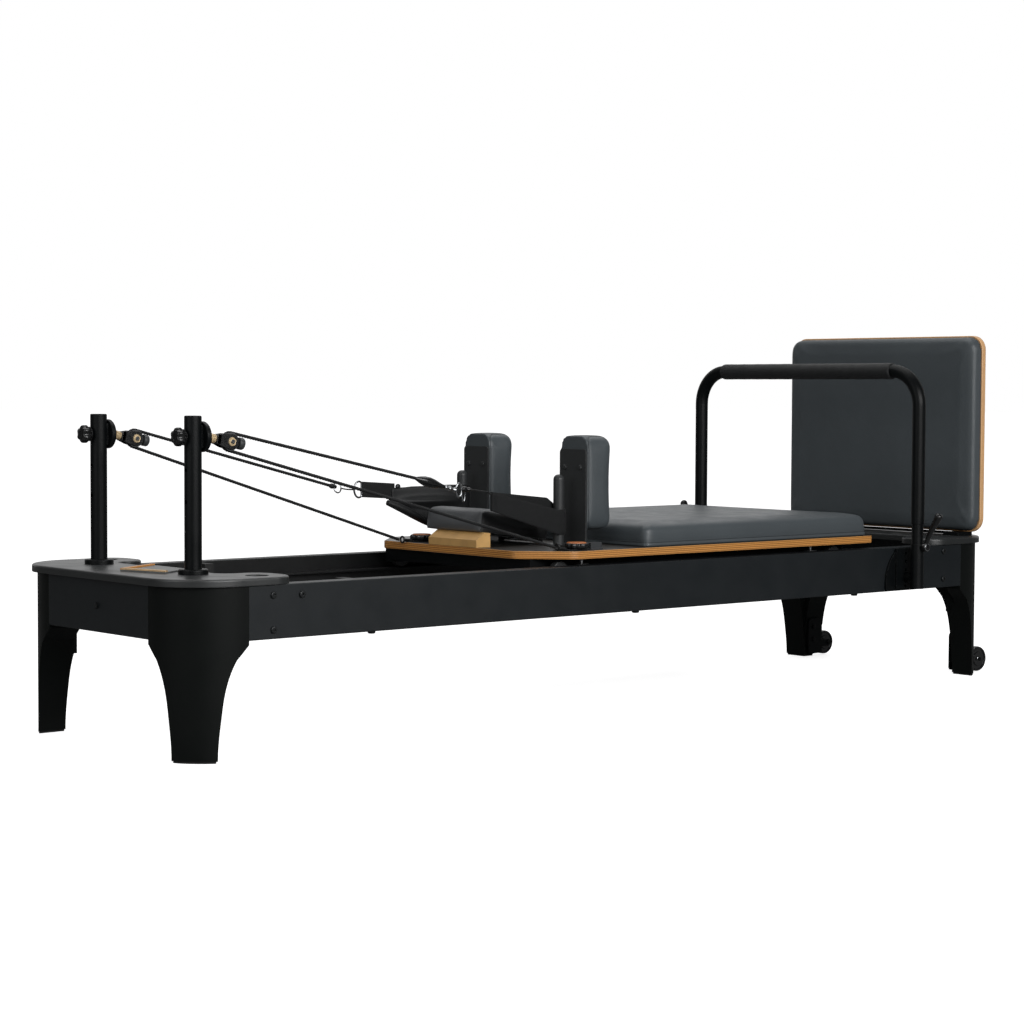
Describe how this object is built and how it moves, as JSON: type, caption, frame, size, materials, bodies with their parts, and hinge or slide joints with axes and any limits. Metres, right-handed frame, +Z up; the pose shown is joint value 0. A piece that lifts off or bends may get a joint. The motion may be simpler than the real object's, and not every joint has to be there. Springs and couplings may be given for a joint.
{
  "type": "pilates reformer",
  "caption": "Low rolling-carriage exercise frame with rope risers, shoulder rests, headrest, sprung carriage, telescoping footbar and padded jump board.",
  "frame": {"origin": "on the floor, midway between the outer faces of the head and foot legs and midway between the rails, which is 13 mm from the middle of the overall box in X", "axes": "+X towards the foot end with the footbar and jump board, +Y to the left side seen from the head end, +Z up"},
  "size_m": [2.4495, 0.875, 0.851],
  "materials": {
    "rail_paint": "satin",
    "leg_cast": "satin",
    "end_plate": "satin",
    "black_steel": "satin",
    "fastener": "satin",
    "zinc": "brushed",
    "spring_steel": "brushed",
    "black_plastic": "satin",
    "nylon": "satin",
    "gloss_wheel": "gloss",
    "rubber": "matte",
    "plywood": "satin",
    "vinyl": "satin",
    "rope": "woven",
    "webbing": "woven"
  },
  "bodies": {
    "frame": {"right_rail": "rail_paint", "left_rail": "rail_paint", "crossmembers": "rail_paint", "right_head_leg": "leg_cast", "left_head_leg": "leg_cast", "right_foot_leg": "leg_cast", "left_foot_leg": "leg_cast", "rubber_feet": "rubber", "head_top_plate": "end_plate", "foot_top_plate": "end_plate", "inlay_panel": "plywood", "cross_braces": "rail_paint", "frame_bolts": "fastener", "rope_risers": "black_steel", "riser_sockets": "black_steel", "pulley_brackets": "black_plastic", "spring_bar": "black_steel", "springs": "spring_steel", "end_stops": "rubber", "footbar_side_plates": "black_steel", "wheel_brackets": "black_steel", "ropes": "rope"},
    "carriage": {"carriage_deck": "plywood", "carriage_cushion": "vinyl", "carriage_chassis": "black_steel", "wheel_pins": "fastener", "rope_adjusters": "black_steel", "headrest_mount": "plywood", "straps": "webbing", "strap_fittings": "zinc"},
    "head_load_wheels": {"head_load_wheels": "nylon"},
    "foot_load_wheels": {"foot_load_wheels": "nylon"},
    "headrest": {"headrest_board": "black_plastic", "headrest_pad": "vinyl"},
    "footbar_lower": {"footbar_sleeves": "black_steel"},
    "footbar_upper": {"footbar_tube": "black_steel", "footbar_grip": "rubber"},
    "jump_board": {"jump_board_panel": "plywood", "jump_board_pad": "vinyl", "jump_board_stand": "black_steel"},
    "right_head_guide_wheel": {"right_head_guide_wheel": "nylon"},
    "left_head_guide_wheel": {"left_head_guide_wheel": "nylon"},
    "right_foot_guide_wheel": {"right_foot_guide_wheel": "nylon"},
    "left_foot_guide_wheel": {"left_foot_guide_wheel": "nylon"},
    "right_rest": {"right_rest_bracket": "black_steel", "right_rest_pad": "vinyl"},
    "right_adjuster_knob": {"right_adjuster_knob": "black_plastic"},
    "right_post_knob": {"right_post_knob": "black_plastic"},
    "right_pulley_block": {"right_pulley_block": "zinc"},
    "right_sheave": {"right_sheave": "nylon"},
    "left_rest": {"left_rest_bracket": "black_steel", "left_rest_pad": "vinyl"},
    "left_adjuster_knob": {"left_adjuster_knob": "black_plastic"},
    "left_post_knob": {"left_post_knob": "black_plastic"},
    "left_pulley_block": {"left_pulley_block": "zinc"},
    "left_sheave": {"left_sheave": "nylon"},
    "right_clamp_lever": {"right_clamp_lever": "black_plastic"},
    "right_transport_wheel": {"right_transport_wheel": "gloss_wheel"},
    "left_clamp_lever": {"left_clamp_lever": "black_plastic"},
    "left_transport_wheel": {"left_transport_wheel": "gloss_wheel"}
  },
  "joints": [
    {"name": "carriage_slide", "type": "slide", "parent": "frame", "child": "carriage", "axis": [-1, 0, 0], "range_m": [0, 0.48], "deforming": ["springs", "ropes"]},
    {"name": "head_load_roll", "type": "hinge", "parent": "carriage", "child": "head_load_wheels", "pos_m": [-0.23, 0, 0.3222], "axis": [0, -1, 0], "range_deg": [-10, 1260]},
    {"name": "foot_load_roll", "type": "hinge", "parent": "carriage", "child": "foot_load_wheels", "pos_m": [0.64, 0, 0.3222], "axis": [0, -1, 0], "range_deg": [-10, 1260]},
    {"name": "right_head_guide_roll", "type": "hinge", "parent": "carriage", "child": "right_head_guide_wheel", "pos_m": [-0.16, -0.2707, 0.33], "axis": [0, 0, 1], "range_deg": [-10, 1730]},
    {"name": "left_head_guide_roll", "type": "hinge", "parent": "carriage", "child": "left_head_guide_wheel", "pos_m": [-0.16, 0.2707, 0.33], "axis": [0, 0, -1], "range_deg": [-10, 1730]},
    {"name": "right_foot_guide_roll", "type": "hinge", "parent": "carriage", "child": "right_foot_guide_wheel", "pos_m": [0.57, -0.2707, 0.33], "axis": [0, 0, 1], "range_deg": [-10, 1730]},
    {"name": "left_foot_guide_roll", "type": "hinge", "parent": "carriage", "child": "left_foot_guide_wheel", "pos_m": [0.57, 0.2707, 0.33], "axis": [0, 0, -1], "range_deg": [-10, 1730]},
    {"name": "headrest_tilt", "type": "hinge", "parent": "carriage", "child": "headrest", "pos_m": [-0.1, 0, 0.373], "axis": [0, 1, 0], "range_deg": [0, 30]},
    {"name": "right_rest_lift", "type": "slide", "parent": "carriage", "child": "right_rest", "axis": [0, 0, 1], "range_m": [0, 0.02]},
    {"name": "right_adjuster_turn", "type": "hinge", "parent": "carriage", "child": "right_adjuster_knob", "pos_m": [-0.19, -0.288, 0.378], "axis": [0, 0, 1], "continuous": true},
    {"name": "right_post_knob_turn", "type": "hinge", "parent": "frame", "child": "right_post_knob", "pos_m": [-1.12, -0.175, 0.616], "axis": [1, 0, 0], "continuous": true},
    {"name": "right_pulley_swivel", "type": "hinge", "parent": "frame", "child": "right_pulley_block", "pos_m": [-1.063, -0.175, 0.616], "axis": [0.9848, 0, -0.1736], "range_deg": [-8, 8]},
    {"name": "right_sheave_spin", "type": "hinge", "parent": "right_pulley_block", "child": "right_sheave", "pos_m": [-1.00588, -0.175, 0.60593], "axis": [0, 1, 0], "continuous": true},
    {"name": "left_rest_lift", "type": "slide", "parent": "carriage", "child": "left_rest", "axis": [0, 0, 1], "range_m": [0, 0.02]},
    {"name": "left_adjuster_turn", "type": "hinge", "parent": "carriage", "child": "left_adjuster_knob", "pos_m": [-0.268, 0.148, 0.378], "axis": [0, 0, 1], "continuous": true},
    {"name": "left_post_knob_turn", "type": "hinge", "parent": "frame", "child": "left_post_knob", "pos_m": [-1.12, 0.175, 0.616], "axis": [1, 0, 0], "continuous": true},
    {"name": "left_pulley_swivel", "type": "hinge", "parent": "frame", "child": "left_pulley_block", "pos_m": [-1.063, 0.175, 0.616], "axis": [0.9848, 0, -0.1736], "range_deg": [-8, 8]},
    {"name": "left_sheave_spin", "type": "hinge", "parent": "left_pulley_block", "child": "left_sheave", "pos_m": [-1.00588, 0.175, 0.60593], "axis": [0, 1, 0], "continuous": true},
    {"name": "footbar_tilt", "type": "hinge", "parent": "frame", "child": "footbar_lower", "pos_m": [0.846, 0, 0.262], "axis": [0, 1, 0], "range_deg": [-60, 20]},
    {"name": "footbar_height", "type": "slide", "parent": "footbar_lower", "child": "footbar_upper", "axis": [0, 0, 1], "range_m": [0, 0.06]},
    {"name": "right_lever_turn", "type": "hinge", "parent": "footbar_lower", "child": "right_clamp_lever", "pos_m": [0.846, -0.39, 0.338], "axis": [0, 1, 0], "range_deg": [-90, 90]},
    {"name": "right_transport_roll", "type": "hinge", "parent": "frame", "child": "right_transport_wheel", "pos_m": [1.206, -0.259, 0.034], "axis": [0, 1, 0], "continuous": true},
    {"name": "left_lever_turn", "type": "hinge", "parent": "footbar_lower", "child": "left_clamp_lever", "pos_m": [0.846, 0.39, 0.338], "axis": [0, 1, 0], "range_deg": [-90, 90]},
    {"name": "left_transport_roll", "type": "hinge", "parent": "frame", "child": "left_transport_wheel", "pos_m": [1.206, 0.259, 0.034], "axis": [0, 1, 0], "continuous": true},
    {"name": "jump_board_lift", "type": "slide", "parent": "frame", "child": "jump_board", "axis": [0, 0, 1], "range_m": [0, 0.12]}
  ],
  "couplings": [
    {"joint": "head_load_roll", "follows": "carriage_slide", "rad_per_m": 45.455},
    {"joint": "foot_load_roll", "follows": "carriage_slide", "rad_per_m": 45.455},
    {"joint": "right_head_guide_roll", "follows": "carriage_slide", "rad_per_m": 62.5},
    {"joint": "left_head_guide_roll", "follows": "carriage_slide", "rad_per_m": 62.5},
    {"joint": "right_foot_guide_roll", "follows": "carriage_slide", "rad_per_m": 62.5},
    {"joint": "left_foot_guide_roll", "follows": "carriage_slide", "rad_per_m": 62.5}
  ]
}
